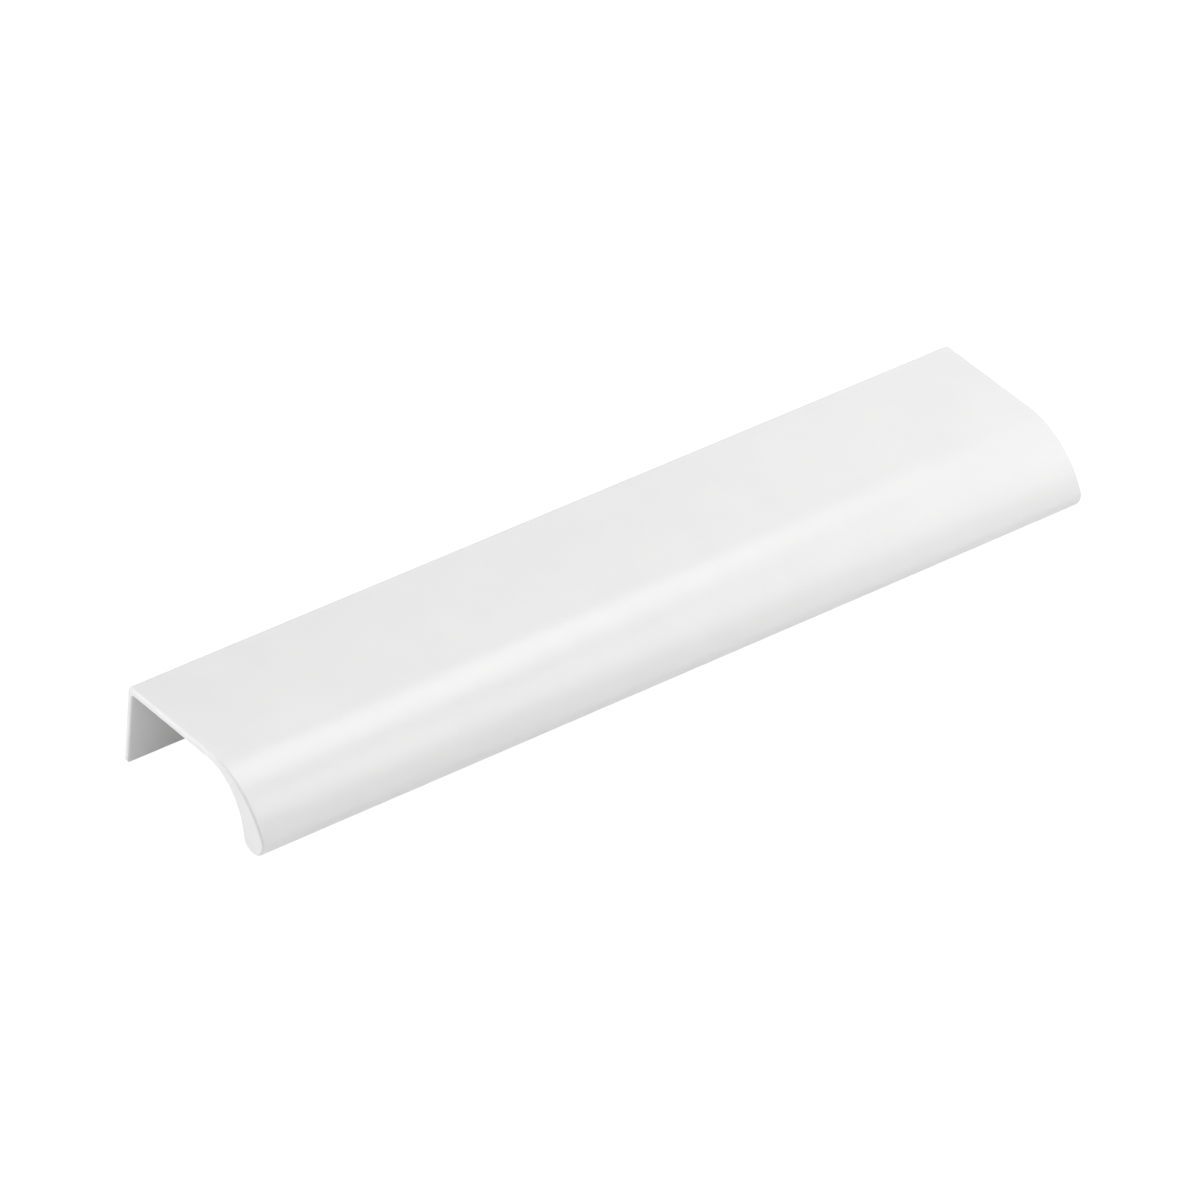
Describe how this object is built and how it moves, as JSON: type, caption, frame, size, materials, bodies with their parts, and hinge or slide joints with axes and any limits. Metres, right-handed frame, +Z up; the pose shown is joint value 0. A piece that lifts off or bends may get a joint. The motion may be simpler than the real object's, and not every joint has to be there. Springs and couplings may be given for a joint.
{
  "type": "lip pull handle",
  "caption": "Extruded edge pull: a thin screw flange, a flat web and a curved lip that thickens to a round bead, fitted over the edge of a cabinet door or drawer front.",
  "frame": {"origin": "on the floor under the middle of the handle's box, with the handle lying on its flange's foot and on the lip's bead", "axes": "+X along the handle's length, -Y towards the lip, +Z up; the web leans 3.9 degrees down towards the lip, because the lip is shorter than the flange"},
  "size_m": [0.2, 0.0422, 0.0171],
  "materials": {
    "powder_coat": "white semi-gloss powder coat on extruded aluminium, with a faint orange-peel texture"
  },
  "bodies": {
    "root": {"lip_pull": "powder_coat"}
  },
  "joints": []
}
